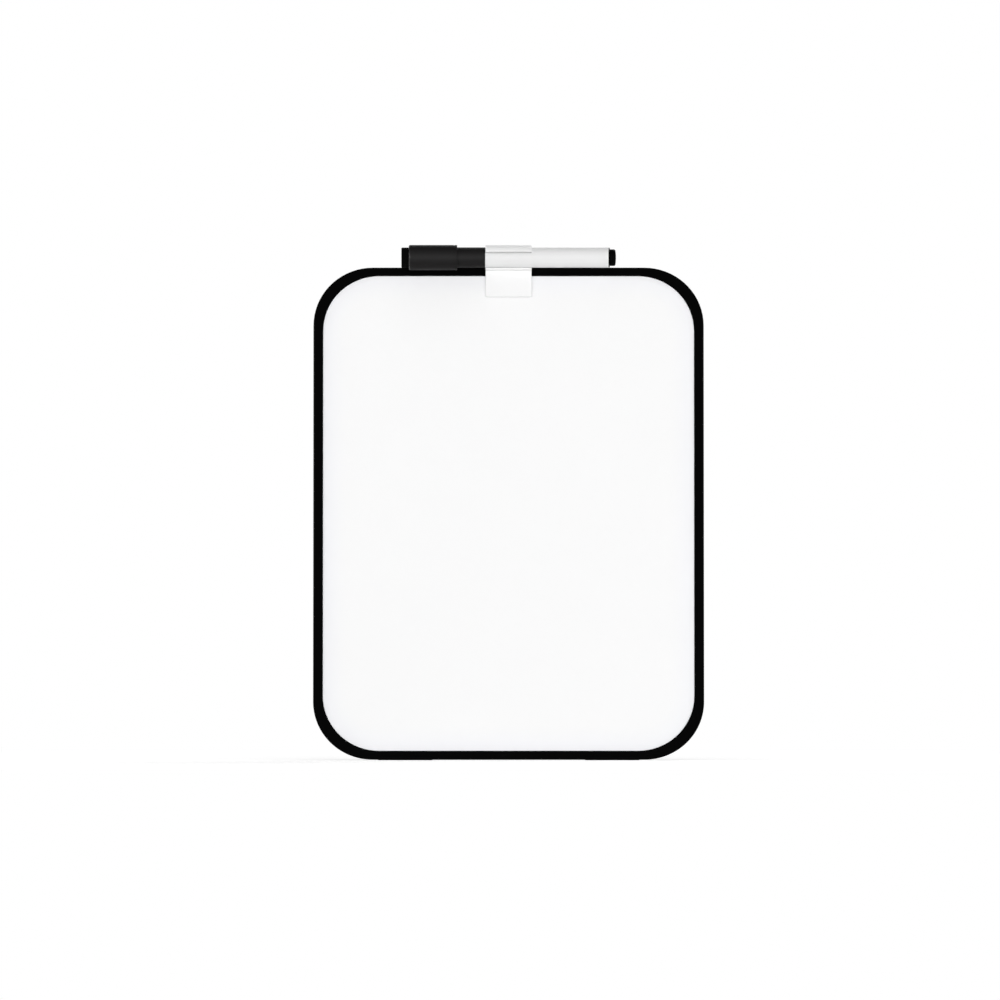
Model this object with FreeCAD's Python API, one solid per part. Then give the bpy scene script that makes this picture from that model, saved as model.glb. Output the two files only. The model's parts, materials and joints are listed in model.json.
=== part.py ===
import FreeCAD, Part
import math
import os

# A small whiteboard on a fold-out leg, with a marker lying in a clip on its top rail.
# Pieces are drawn with the board upright: x to the right as seen from the front, y from the
# front face towards the back, z up from the frame's lower edge. The board then leans back,
# and the finished object stands on z = 0, centred over its own footprint.

Vector = FreeCAD.Vector
ACROSS = Vector(1, 0, 0)
DEPTHWISE = Vector(0, 1, 0)
UPWARD = Vector(0, 0, 1)
ORIGIN = Vector(0, 0, 0)
FULL_TURN = 360.0

# Whole object
board_width = 216.0
board_height = 279.4
lean_angle = 13.0
leg_open_angle = 24.0

# Allowances shared by all pieces
overrun = 2.0
same_place = 0.001
parallel_share = 0.999
snug_fit = 0.05
panel_play = 0.25
cover_play = 0.15

# Front frame: a moulded ring whose lip laps over the writing sheet
outer_corner = 32.9
window_corner = 31.1
side_strip = 5.4
top_strip = 4.8
bottom_strip = 5.15
frame_wall = 2.0
bottom_wall = 3.7
frame_lip = 1.2
front_rounding = 1.0
window_bevel = 0.4
rear_bevel = 0.6

# Panels behind the lip
sheet_thickness = 0.4
core_thickness = 2.6

# Back cover: a ribbed moulding that closes the frame
cover_depth = 5.8
cover_skin = 1.6
cover_skirt = 1.6
cover_rib = 1.2
cover_bevel = 0.4
rib_columns = 6
rib_rows = 8
seat_depth = 1.2
seat_play = 0.8
seat_rounding = 4.0
boss_wall = 1.6

# Snap beads on the cover's skirt, and the grooves that they click into
bead_radius = 0.6
bead_reach = 0.45
bead_length = 14.0
bead_below_back = 2.6
groove_play = 0.1
side_bead_shares = (0.2, 0.5, 0.8)
end_bead_shares = (-0.3, 0.3)

# Rubber pads under the bottom rail
pad_length = 30.0
pad_width = 6.0
pad_thickness = 1.0
pad_proud = 0.3
pad_play = 0.1
pad_from_corner = 3.0

# Leg: a tapered moulding with ribs on the side that faces the board
leg_thickness = 4.4
knuckle_width = 36.0
foot_width = 58.0
leg_shoulder = 6.0
hinge_height = 205.0
knuckle_gap = 0.3
leg_skin = 1.4
leg_rim = 1.8
leg_rib = 1.4
leg_bays = 7
leg_rounding = 0.8
heel_length = 6.0
heel_gap = 0.05
hollow_below_hinge = 7.0

# Rubber boot on the leg's end
boot_height = 13.0
boot_wall = 1.1
boot_sole = 2.4
boot_corner = 6.0
tread_radius = 0.5
tread_shares = (-0.25, 0.25)

# Hinge: stamped bracket, pin, washers and screws
plate_width = 62.0
plate_above = 13.0
plate_below = 9.0
plate_thickness = 1.0
plate_corner = 2.5
plate_play = 0.3
ear_thickness = 1.0
ear_radius = 2.4
ear_foot = 5.0
pin_radius = 1.0
pin_fit = 0.02
bore_fit = 0.06
pin_head_radius = 1.7
pin_head_thickness = 0.8
pin_head_bevel = 0.4
washer_radius = 2.0
washer_thickness = 0.5
washer_play = 0.15
screw_radius = 1.1
screw_length = 4.4
screw_head_radius = 2.2
screw_head_height = 1.4
screw_head_bevel = 0.7
screw_edge = 4.5
screw_play = 0.2

# Clip: a saddle over the top rail with an open cradle at its front corner
clip_width = 25.5
clip_thickness = 1.2
clip_play = 0.15
clip_front_reach = 17.1
clip_rear_reach = 14.0
clip_corner = 0.8
cradle_wall = 1.2
cradle_fit = 0.08
cradle_gap_start = 73.0
cradle_gap_end = 185.0

# Marker, measured along its axis from the cap's open end
marker_forward = 6.0
marker_above = 4.06
barrel_radius = 5.55
barrel_wall = 1.15
barrel_length = 68.2
neck_radius = 4.8
neck_wall = 0.8
neck_length = 11.0
seam_gap = 0.05
cap_to_clip = 0.2
section_spigot = 1.6
section_collar = 1.5
section_cone = 6.5
section_tip_radius = 2.9
nib_radius = 2.0
nib_show = 5.5
nib_inside = 6.0
nib_bevel = 1.2
reservoir_radius = 3.9
reservoir_end_gap = 1.2
plug_spigot = 5.0
plug_flange = 0.6
plug_flange_radius = 5.5
plug_radius = 4.5
plug_show = 3.5
plug_bevel = 0.9

# Cap: head, skirt, seal, magnet and eraser
cap_fit = 0.08
skirt_radius = 5.7
skirt_length = 15.5
head_radius = 7.0
head_length = 26.85
head_bevel = 0.5
skirt_bevel = 0.25
cap_web = 1.8
liner_wall = 1.0
liner_end_wall = 1.2
liner_start = 4.0
magnet_thickness = 4.0
magnet_play = 0.1
eraser_radius = 5.65
eraser_show = 4.1
eraser_sunk = 3.8
eraser_bevel = 0.5

# Depths, from the front face backwards
sheet_back = frame_lip + sheet_thickness
core_back = sheet_back + core_thickness
frame_depth = core_back + cover_depth
seat_floor = frame_depth - seat_depth
plate_floor = seat_floor - plate_thickness
hinge_depth = seat_floor + knuckle_gap + leg_thickness / 2

# The leg reaches from the hinge to the desk
lean = math.radians(lean_angle)
leg_lean_angle = leg_open_angle - lean_angle
leg_lean = math.radians(leg_lean_angle)
hinge_above_desk = hinge_height * math.cos(lean) - hinge_depth * math.sin(lean) + pad_proud
leg_reach = hinge_above_desk / math.cos(leg_lean)

# The footprint runs from the rounded front edge to the heel of the boot's sole
hinge_behind = hinge_depth * math.cos(lean) + hinge_height * math.sin(lean)
footprint_front = front_rounding * (math.cos(lean) + math.sin(lean) - 1)
footprint_back = hinge_behind + leg_thickness / 2 / math.cos(leg_lean) + leg_reach * math.sin(leg_lean)
footprint_middle = (footprint_front + footprint_back) / 2

# Places along the marker
cap_open_end = -clip_width / 2 - cap_to_clip
shoulder = cap_open_end + seam_gap
neck_end = shoulder - neck_length
barrel_end = shoulder + barrel_length
skirt_start = cap_open_end - skirt_length
head_start = skirt_start - head_length
magnet_start = head_start + eraser_sunk + snug_fit
cup_floor = magnet_start + magnet_thickness + snug_fit
web_end = cup_floor + cap_web
barrel_bore = barrel_radius - barrel_wall
neck_bore = neck_radius - neck_wall
cap_bore = neck_radius + cap_fit
nib_rear = neck_end + nib_inside


def block(left, right, front, back, low, high):
    """Box between six planes."""
    return Part.makeBox(right - left, back - front, high - low, Vector(left, front, low))


def edges_in_plane(shape, direction, place):
    """Edges whose ends and middle all lie at one place along a direction."""
    found = []
    for edge in shape.Edges:
        points = [vertex.Point for vertex in edge.Vertexes]
        points.append(edge.valueAt((edge.FirstParameter + edge.LastParameter) / 2))
        if all(abs(point.dot(direction) - place) < same_place for point in points):
            found.append(edge)
    return found


def edges_along(shape, direction):
    """Straight edges that run along a direction."""
    found = []
    for edge in shape.Edges:
        if isinstance(edge.Curve, Part.Line):
            if abs(edge.tangentAt(edge.FirstParameter).dot(direction)) > parallel_share:
                found.append(edge)
    return found


def rounded_slab(half_width, low, high, corner, front, back):
    """Upright slab with its four corners rounded."""
    slab = block(-half_width, half_width, front, back, low, high)
    return slab.makeFillet(corner, edges_along(slab, DEPTHWISE))


def plate_from(outline, front, back):
    """Plate of a straight-sided outline, given as (x, z) points."""
    points = [Vector(x, front, z) for x, z in outline]
    face = Part.Face(Part.makePolygon(points + points[:1]))
    return face.extrude(Vector(0, back - front, 0))


def bar_from(section, left, right):
    """Bar along x of a straight-sided section, given as (y, z) points."""
    points = [Vector(left, y, z) for y, z in section]
    face = Part.Face(Part.makePolygon(points + points[:1]))
    return face.extrude(Vector(right - left, 0, 0))


def rod_across(radius, left, right, y=0.0, z=0.0):
    """Round rod along x."""
    return Part.makeCylinder(radius, right - left, Vector(left, y, z), ACROSS)


def rod_depthwise(radius, x, z, front, back):
    """Round rod along y."""
    return Part.makeCylinder(radius, back - front, Vector(x, front, z), DEPTHWISE)


def turned(profile):
    """Turned solid about the x axis, from (place along the axis, radius) points."""
    points = [Vector(along, radius, 0) for along, radius in profile]
    face = Part.Face(Part.makePolygon(points + points[:1]))
    return face.revolve(ORIGIN, ACROSS, FULL_TURN)


def rims(shape, along, radius):
    """Circular edges of a turned solid at one place and radius."""
    found = []
    for edge in edges_in_plane(shape, ACROSS, along):
        if isinstance(edge.Curve, Part.Circle) and abs(edge.Curve.Radius - radius) < same_place:
            found.append(edge)
    return found


def bevel_rim(shape, along, radius, bevel):
    """Bevel the rim of a turned solid."""
    return shape.makeChamfer(bevel, rims(shape, along, radius))


def fused(first, others):
    """One solid from touching or crossing ones."""
    return first.multiFuse(others).removeSplitter()


def lean_back(shape):
    """Lean a piece back with the board and stand it on the desk."""
    leaning = shape.copy()
    leaning.rotate(ORIGIN, ACROSS, -lean_angle)
    leaning.translate(Vector(0, -footprint_middle, pad_proud))
    return leaning


def open_leg(shape):
    """Swing a piece of the leg open and carry it to the hinge of the leaning board."""
    swung = shape.copy()
    swung.rotate(ORIGIN, ACROSS, leg_open_angle)
    swung.translate(Vector(0, hinge_depth, hinge_height))
    return lean_back(swung)


def onto_rail(shape):
    """Carry a piece of the marker from the x axis to the cradle on the top rail."""
    carried = shape.copy()
    carried.translate(Vector(0, -marker_forward, board_height + marker_above))
    return lean_back(carried)


# Frame and panels

def snap_beads(radius, standing):
    """Beads round the cover's skirt, standing out by the given distance from its face."""
    depth = frame_depth - bead_below_back
    half_width = board_width / 2 - frame_wall - cover_play
    low = bottom_wall + cover_play
    high = board_height - frame_wall - cover_play
    inset = radius - standing
    beads = []
    for share in side_bead_shares:
        middle = low + share * (high - low)
        for side in (-1, 1):
            place = Vector(side * (half_width - inset), depth, middle - bead_length / 2)
            beads.append(Part.makeCylinder(radius, bead_length, place, UPWARD))
    for share in end_bead_shares:
        middle = share * board_width
        for edge in (low + inset, high - inset):
            beads.append(rod_across(radius, middle - bead_length / 2, middle + bead_length / 2, depth, edge))
    return beads


def foot_pad(side, play=0.0, depth_play=0.0):
    """Stadium-shaped rubber pad under the bottom rail, or with play the recess for it."""
    middle = frame_depth / math.cos(lean) / 2 - footprint_middle
    half = pad_width / 2 + play
    reach = pad_length / 2 + play
    pad = block(-reach, reach, middle - half, middle + half, 0, pad_thickness + depth_play)
    pad = pad.makeFillet(half - same_place, edges_along(pad, UPWARD))
    offset = board_width / 2 - outer_corner - pad_from_corner - pad_length / 2
    pad.translate(Vector(side * offset, 0, 0))
    return pad


def level_envelope():
    """The front outline carried back level with the desk, so that the frame's underside and lower
    corners stand square to the desk behind their front edge."""
    rise = math.tan(lean)
    low = -overrun * rise
    outline = rounded_slab(board_width / 2, low, board_height * 2, outer_corner, -overrun, frame_depth)
    front = min(outline.Faces, key=lambda face: face.CenterOfMass.y)
    length = frame_depth + overrun * 2
    return front.extrude(Vector(0, length, length * rise))


def front_frame():
    """Rounded ring: front lip, four walls, snap grooves, level underside and pad recesses."""
    half_width = board_width / 2
    ring = rounded_slab(half_width, 0, board_height, outer_corner, 0, frame_depth)
    ring = ring.makeFillet(front_rounding, edges_in_plane(ring, DEPTHWISE, 0))
    ring = ring.makeChamfer(rear_bevel, edges_in_plane(ring, DEPTHWISE, frame_depth))
    cavity = rounded_slab(
        half_width - frame_wall,
        bottom_wall,
        board_height - frame_wall,
        outer_corner - frame_wall,
        frame_lip,
        frame_depth + overrun,
    )
    window = rounded_slab(
        half_width - side_strip,
        bottom_strip,
        board_height - top_strip,
        window_corner,
        -overrun,
        frame_depth,
    )
    ring = ring.cut(cavity).cut(window)
    window_edges = []
    for edge in edges_in_plane(ring, DEPTHWISE, 0):
        middle = edge.valueAt((edge.FirstParameter + edge.LastParameter) / 2)
        if window.isInside(middle, same_place * 2, True):
            window_edges.append(edge)
    ring = ring.makeChamfer(window_bevel, window_edges)
    ring = ring.cut(Part.makeCompound(snap_beads(bead_radius + groove_play, bead_reach + groove_play)))
    ring = lean_back(ring.common(level_envelope()))
    for side in (-1, 1):
        ring = ring.cut(foot_pad(side, pad_play, snug_fit))
    return ring


def panel(front, back):
    """Flat panel that drops into the frame's cavity."""
    return rounded_slab(
        board_width / 2 - frame_wall - panel_play,
        bottom_wall + panel_play,
        board_height - frame_wall - panel_play,
        outer_corner - frame_wall - panel_play,
        front,
        back,
    )


def screw_places():
    """Centres (x, z) of the four bracket screws."""
    across = plate_width / 2 - screw_edge
    low = hinge_height - plate_below + screw_edge
    high = hinge_height + plate_above - screw_edge
    return [(side * across, z) for side in (-1, 1) for z in (low, high)]


def core_panel():
    """Fibreboard panel behind the sheet."""
    return panel(sheet_back, core_back)


def leg_half_width(drop):
    """Half width of the leg at a distance below the hinge: straight to its shoulder, then tapered."""
    taper = (foot_width - knuckle_width) / 2 / (leg_reach - leg_shoulder)
    return knuckle_width / 2 + taper * max(drop - leg_shoulder, 0)


def leg_seat():
    """Shallow seat in the cover's back that the folded leg lies in, open at the bottom."""
    top = hinge_height + plate_above + plate_play
    bottom = bottom_wall - overrun
    top_half = plate_width / 2 + plate_play
    knee = hinge_height - plate_below - plate_play
    knee_half = leg_half_width(plate_below) + seat_play
    bottom_half = leg_half_width(hinge_height - bottom) + seat_play
    outline = [
        (-top_half, top),
        (top_half, top),
        (top_half, knee),
        (knee_half, knee - (top_half - knee_half)),
        (bottom_half, bottom),
        (-bottom_half, bottom),
        (-knee_half, knee - (top_half - knee_half)),
        (-top_half, knee),
    ]
    seat = plate_from(outline, seat_floor, frame_depth + overrun)
    upper = []
    for edge in edges_along(seat, DEPTHWISE):
        if edge.Vertexes[0].Point.z > bottom + same_place:
            upper.append(edge)
    return seat.makeFillet(seat_rounding, upper)


def bracket_recess():
    """Recess in the seat that takes the bracket's plate."""
    return rounded_slab(
        plate_width / 2 + plate_play,
        hinge_height - plate_below - plate_play,
        hinge_height + plate_above + plate_play,
        plate_corner + plate_play,
        plate_floor,
        frame_depth + overrun,
    )


def cover_cells():
    """Hollows between the ribs, open towards the core panel."""
    half_width = board_width / 2 - frame_wall - cover_play - cover_skirt
    low = bottom_wall + cover_play + cover_skirt
    high = board_height - frame_wall - cover_play - cover_skirt
    corner = outer_corner - frame_wall - cover_play - cover_skirt
    inner = rounded_slab(half_width, low, high, corner, core_back - overrun, frame_depth - cover_skin)
    ribs = []
    for column in range(1, rib_columns):
        middle = -half_width + column * 2 * half_width / rib_columns
        ribs.append(block(middle - cover_rib / 2, middle + cover_rib / 2, 0, frame_depth, low, high))
    for row in range(1, rib_rows):
        middle = low + row * (high - low) / rib_rows
        ribs.append(block(-half_width, half_width, 0, frame_depth, middle - cover_rib / 2, middle + cover_rib / 2))
    post = screw_radius + boss_wall
    for x, z in screw_places():
        ribs.append(block(x - post, x + post, 0, frame_depth, z - post, z + post))
    return inner.cut(Part.makeCompound(ribs))


def back_cover():
    """Rear moulding: skin, skirt, ribs, snap beads, leg seat, bracket recess and screw posts."""
    cover = rounded_slab(
        board_width / 2 - frame_wall - cover_play,
        bottom_wall + cover_play,
        board_height - frame_wall - cover_play,
        outer_corner - frame_wall - cover_play,
        core_back,
        frame_depth,
    )
    cover = cover.makeChamfer(cover_bevel, edges_in_plane(cover, DEPTHWISE, frame_depth))
    cover = fused(cover, snap_beads(bead_radius, bead_reach))
    seat = leg_seat()
    recess = bracket_recess()
    floor_under_seat = seat.copy()
    floor_under_seat.translate(Vector(0, -cover_skin, 0))
    floor_under_plate = recess.copy()
    floor_under_plate.translate(Vector(0, -cover_skin, 0))
    cells = cover_cells().cut(floor_under_seat).cut(floor_under_plate)
    cover = cover.cut(cells).cut(seat).cut(recess)
    for x, z in screw_places():
        cover = cover.cut(rod_depthwise(screw_radius + pin_fit, x, z, core_back - overrun, frame_depth))
    return cover


# Hinge

def hinge_bracket():
    """Plate with four screw holes and two ears that carry the pin."""
    plate = rounded_slab(
        plate_width / 2,
        hinge_height - plate_below,
        hinge_height + plate_above,
        plate_corner,
        plate_floor,
        seat_floor,
    )
    ears = []
    inner = knuckle_width / 2 + washer_thickness + washer_play
    section = [
        (plate_floor, hinge_height - ear_foot),
        (seat_floor, hinge_height - ear_foot),
        (hinge_depth, hinge_height - ear_radius),
        (hinge_depth, hinge_height + ear_radius),
        (seat_floor, hinge_height + ear_foot),
        (plate_floor, hinge_height + ear_foot),
    ]
    for near, far in ((-inner - ear_thickness, -inner), (inner, inner + ear_thickness)):
        ears.append(bar_from(section, near, far))
        ears.append(rod_across(ear_radius, near, far, hinge_depth, hinge_height))
    bracket = fused(plate, ears)
    bracket = bracket.cut(rod_across(pin_radius + pin_fit, -plate_width, plate_width, hinge_depth, hinge_height))
    for x, z in screw_places():
        bracket = bracket.cut(rod_depthwise(screw_radius + screw_play, x, z, plate_floor - overrun, frame_depth))
    return bracket


def hinge_pin():
    """Steel pin with a domed head outside each ear."""
    outside = knuckle_width / 2 + washer_thickness + washer_play + ear_thickness + pin_fit
    pin = rod_across(pin_radius, -outside, outside)
    heads = []
    for side in (-1, 1):
        near, far = sorted((side * outside, side * (outside + pin_head_thickness)))
        head = rod_across(pin_head_radius, near, far)
        rim = side * (outside + pin_head_thickness)
        heads.append(bevel_rim(head, rim, pin_head_radius, pin_head_bevel))
    pin = fused(pin, heads)
    pin.translate(Vector(0, hinge_depth, hinge_height))
    return pin


def hinge_washers():
    """Friction washer at each end of the knuckle."""
    washers = []
    for side in (-1, 1):
        near, far = sorted((side * knuckle_width / 2, side * (knuckle_width / 2 + washer_thickness)))
        ring = rod_across(washer_radius, near, far)
        washers.append(ring.cut(rod_across(pin_radius + bore_fit, near - overrun, far + overrun)))
    return Part.makeCompound(washers)


def bracket_screws():
    """Four pan-head screws."""
    screws = []
    for x, z in screw_places():
        head_back = seat_floor + screw_head_height
        head = rod_depthwise(screw_head_radius, x, z, seat_floor, head_back)
        head = head.makeChamfer(screw_head_bevel, edges_in_plane(head, DEPTHWISE, head_back))
        shank = rod_depthwise(screw_radius, x, z, seat_floor - screw_length, seat_floor)
        screws.append(fused(head, [shank]))
    return Part.makeCompound(screws)


# Leg, drawn folded with the hinge's axis along x through the origin

def tapered_plate(top, bottom, inset, front, back):
    """Stretch of the leg's outline between two distances below the hinge."""
    drops = [top, bottom]
    if top < leg_shoulder < bottom:
        drops.insert(1, leg_shoulder)
    right = [(leg_half_width(drop) - inset, -drop) for drop in drops]
    left = [(-x, z) for x, z in reversed(right)]
    return plate_from(right + left, front, back)


def leg_ribs(top, bottom):
    """Cross ribs with a zigzag of diagonals between them."""
    ribs = []
    bay = (bottom - top) / leg_bays
    half = leg_rib / 2
    for number in range(leg_bays):
        start = top + number * bay
        end = start + bay
        if number:
            reach = leg_half_width(end)
            ribs.append(block(-reach, reach, -leg_thickness, leg_thickness, -start - half, -start + half))
        side = 1 if number % 2 else -1
        near = (-side * leg_half_width(start), -start)
        far = (side * leg_half_width(end), -end)
        length = math.hypot(far[0] - near[0], far[1] - near[1])
        shift_x = half * (far[1] - near[1]) / length
        shift_z = half * (far[0] - near[0]) / length
        outline = [
            (near[0] + shift_x, near[1] - shift_z),
            (far[0] + shift_x, far[1] - shift_z),
            (far[0] - shift_x, far[1] + shift_z),
            (near[0] - shift_x, near[1] + shift_z),
        ]
        ribs.append(plate_from(outline, -leg_thickness, leg_thickness))
    return ribs


def heel():
    """Wedge above the hinge that lands on the bracket's plate when the leg is open."""
    opened = math.radians(leg_open_angle)
    bearing = leg_thickness / 2 + knuckle_gap - heel_gap
    tip_depth = heel_length * math.sin(opened) - bearing * math.cos(opened)
    tip_rise = heel_length * math.cos(opened) + bearing * math.sin(opened)
    root_depth = -bearing * math.cos(opened)
    root_rise = bearing * math.sin(opened)
    section = [
        (0, 0),
        (root_depth, root_rise),
        (tip_depth, tip_rise),
        (leg_thickness / 2, tip_rise),
        (leg_thickness / 2, 0),
    ]
    return bar_from(section, -knuckle_width / 2, knuckle_width / 2)


def leg():
    """Moulded leg: knuckle, heel, tapered panel with rims and ribs, and a tongue for the boot."""
    half = leg_thickness / 2
    boot_top = leg_reach - boot_height
    body = tapered_plate(0, boot_top - snug_fit, 0, -half, half)
    side_edges = []
    for edge in edges_in_plane(body, DEPTHWISE, half):
        if edge.BoundBox.ZLength > same_place * 2:
            side_edges.append(edge)
    body = body.makeFillet(leg_rounding, side_edges)
    hollow_top = hollow_below_hinge
    hollow_bottom = boot_top - leg_rim
    hollow = tapered_plate(hollow_top, hollow_bottom, leg_rim, -half - overrun, half - leg_skin)
    hollow = hollow.cut(Part.makeCompound(leg_ribs(hollow_top, hollow_bottom)))
    tongue_half = half - boot_wall - snug_fit
    tongue_end = leg_reach - boot_sole - snug_fit
    tongue = tapered_plate(boot_top - leg_rim, tongue_end, boot_wall + snug_fit, -tongue_half, tongue_half)
    knuckle = rod_across(half, -knuckle_width / 2, knuckle_width / 2)
    whole = fused(body.cut(hollow), [knuckle, heel(), tongue])
    return whole.cut(rod_across(pin_radius + bore_fit, -knuckle_width, knuckle_width))


def sole_level(depth):
    """Height of the desk below the hinge, at a depth across the folded leg."""
    return -leg_reach - depth * math.tan(leg_lean)


def leg_foot():
    """Rubber boot whose sole is level when the leg is open."""
    half = leg_thickness / 2
    boot_top = leg_reach - boot_height
    lowest = -sole_level(half)
    boot = tapered_plate(boot_top, lowest, 0, -half, half)
    corners = []
    for edge in edges_along(boot, DEPTHWISE):
        if abs(edge.Vertexes[0].Point.z + lowest) < same_place:
            corners.append(edge)
    boot = boot.makeFillet(boot_corner, corners)
    pocket = tapered_plate(boot_top - overrun, leg_reach - boot_sole, boot_wall, boot_wall - half, half - boot_wall)
    beyond = half + overrun
    under = [
        (-beyond, sole_level(-beyond)),
        (beyond, sole_level(beyond)),
        (beyond, -lowest - overrun),
        (-beyond, -lowest - overrun),
    ]
    boot = boot.cut(pocket).cut(bar_from(under, -foot_width, foot_width))
    for share in tread_shares:
        depth = share * leg_thickness
        boot = boot.cut(rod_across(tread_radius, -foot_width, foot_width, depth, sole_level(depth)))
    return boot


# Clip

def marker_clip():
    """Saddle over the top rail and a cradle that the marker snaps or slides into."""
    half_width = clip_width / 2
    face = -clip_play
    front = face - clip_thickness
    top = board_height + clip_play + clip_thickness
    back = frame_depth + clip_play
    plates = [
        block(-half_width, half_width, front, face, board_height - clip_front_reach, top),
        block(-half_width, half_width, back, back + clip_thickness, board_height - clip_rear_reach, top),
    ]
    for number, plate in enumerate(plates):
        lower = []
        for edge in edges_along(plate, DEPTHWISE):
            if edge.Vertexes[0].Point.z < board_height:
                lower.append(edge)
        plates[number] = plate.makeFillet(clip_corner, lower)
    bridge = block(-half_width, half_width, front, back + clip_thickness, board_height + clip_play, top)
    axis_y = -marker_forward
    axis_z = board_height + marker_above
    inner = barrel_radius + cradle_fit
    outer = inner + cradle_wall
    middle = inner + cradle_wall / 2
    ring = rod_across(outer, -half_width, half_width, axis_y, axis_z)
    start = math.radians(cradle_gap_start)
    end = math.radians(cradle_gap_end)
    far = outer * 2
    opening = [(axis_y, axis_z)]
    for turn in (start, (start + end) / 2, end):
        opening.append((axis_y - far * math.sin(turn), axis_z + far * math.cos(turn)))
    ring = ring.cut(bar_from(opening, -half_width - overrun, half_width + overrun))
    lips = []
    for turn in (start, end):
        lip_y = axis_y - middle * math.sin(turn)
        lip_z = axis_z + middle * math.cos(turn)
        lips.append(rod_across(cradle_wall / 2, -half_width, half_width, lip_y, lip_z))
    clip = fused(bridge, plates + [ring] + lips)
    return clip.cut(rod_across(inner, -clip_width, clip_width, axis_y, axis_z))


# Marker and cap, drawn with their axis along x through the origin

def marker_barrel():
    """Tube with a narrower neck that the cap pushes onto."""
    return turned([
        (neck_end, neck_bore),
        (neck_end, neck_radius),
        (shoulder, neck_radius),
        (shoulder, barrel_radius),
        (barrel_end, barrel_radius),
        (barrel_end, barrel_bore),
        (shoulder, barrel_bore),
        (shoulder, neck_bore),
    ])


def nib_section():
    """Cone that holds the nib, plugged into the neck."""
    bore = nib_radius + snug_fit
    collar_radius = neck_radius - snug_fit
    cone_start = neck_end - section_collar
    return turned([
        (neck_end + section_spigot, bore),
        (neck_end + section_spigot, neck_bore - snug_fit),
        (neck_end - snug_fit, neck_bore - snug_fit),
        (neck_end - snug_fit, collar_radius),
        (cone_start, collar_radius),
        (cone_start - section_cone, section_tip_radius),
        (cone_start - section_cone, bore),
    ])


def marker_nib():
    """Felt rod with a bullet tip."""
    tip = neck_end - section_collar - section_cone - nib_show
    nib = rod_across(nib_radius, tip, nib_rear)
    return bevel_rim(nib, tip, nib_radius, nib_bevel)


def ink_reservoir():
    """Fibre rod with a socket for the nib."""
    front = neck_end + section_spigot + snug_fit
    back = barrel_end - plug_spigot - reservoir_end_gap
    rod = rod_across(reservoir_radius, front, back)
    return rod.cut(rod_across(nib_radius + snug_fit, front - overrun, nib_rear + snug_fit))


def end_plug():
    """Plug with a flange against the barrel and a bevelled button end."""
    flange_end = barrel_end + snug_fit + plug_flange
    button_end = flange_end + plug_show
    plug = turned([
        (barrel_end - plug_spigot, 0),
        (barrel_end - plug_spigot, barrel_bore - snug_fit),
        (barrel_end + snug_fit, barrel_bore - snug_fit),
        (barrel_end + snug_fit, plug_flange_radius),
        (flange_end, plug_flange_radius),
        (flange_end, plug_radius),
        (button_end, plug_radius),
        (button_end, 0),
    ])
    return bevel_rim(plug, button_end, plug_radius, plug_bevel)


def marker_cap():
    """Cap with a wide head, a narrow skirt, a cup for magnet and eraser, and the marker's bore."""
    cup_radius = eraser_radius + snug_fit
    cap = turned([
        (head_start, cup_radius),
        (cup_floor, cup_radius),
        (cup_floor, 0),
        (web_end, 0),
        (web_end, cap_bore),
        (cap_open_end, cap_bore),
        (cap_open_end, skirt_radius),
        (skirt_start, skirt_radius),
        (skirt_start, head_radius),
        (head_start, head_radius),
    ])
    cap = bevel_rim(cap, head_start, head_radius, head_bevel)
    return bevel_rim(cap, skirt_start, head_radius, skirt_bevel)


def cap_liner():
    """Seal sleeve round the nib and its cone."""
    outside = cap_bore - snug_fit
    start = web_end + snug_fit
    mouth = neck_end - section_collar - liner_start
    return turned([
        (start, 0),
        (start, outside),
        (mouth, outside),
        (mouth, outside - liner_wall),
        (start + liner_end_wall, outside - liner_wall),
        (start + liner_end_wall, 0),
    ])


def cap_magnet():
    """Disc magnet at the bottom of the cup."""
    return rod_across(eraser_radius - magnet_play, magnet_start, magnet_start + magnet_thickness)


def cap_eraser():
    """Felt stub pressed into the cup in front of the magnet."""
    left = head_start - eraser_show
    eraser = rod_across(eraser_radius, left, head_start + eraser_sunk)
    return bevel_rim(eraser, left, eraser_radius, eraser_bevel)


def build_nodes():
    """Every piece in its place, by name."""
    return {
        "front_frame": front_frame(),
        "writing_sheet": lean_back(panel(frame_lip, sheet_back)),
        "core_panel": lean_back(core_panel()),
        "back_cover": lean_back(back_cover()),
        "left_foot_pad": foot_pad(-1),
        "right_foot_pad": foot_pad(1),
        "hinge_bracket": lean_back(hinge_bracket()),
        "bracket_screws": lean_back(bracket_screws()),
        "hinge_pin": lean_back(hinge_pin()),
        "hinge_washers": open_leg(hinge_washers()),
        "leg": open_leg(leg()),
        "leg_foot": open_leg(leg_foot()),
        "marker_clip": lean_back(marker_clip()),
        "marker_barrel": onto_rail(marker_barrel()),
        "nib_section": onto_rail(nib_section()),
        "marker_nib": onto_rail(marker_nib()),
        "ink_reservoir": onto_rail(ink_reservoir()),
        "end_plug": onto_rail(end_plug()),
        "marker_cap": onto_rail(marker_cap()),
        "cap_liner": onto_rail(cap_liner()),
        "cap_magnet": onto_rail(cap_magnet()),
        "cap_eraser": onto_rail(cap_eraser()),
    }


os.makedirs("parts", exist_ok=True)
for name, shape in build_nodes().items():
    shape.exportStep("parts/" + name + ".step")
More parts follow.
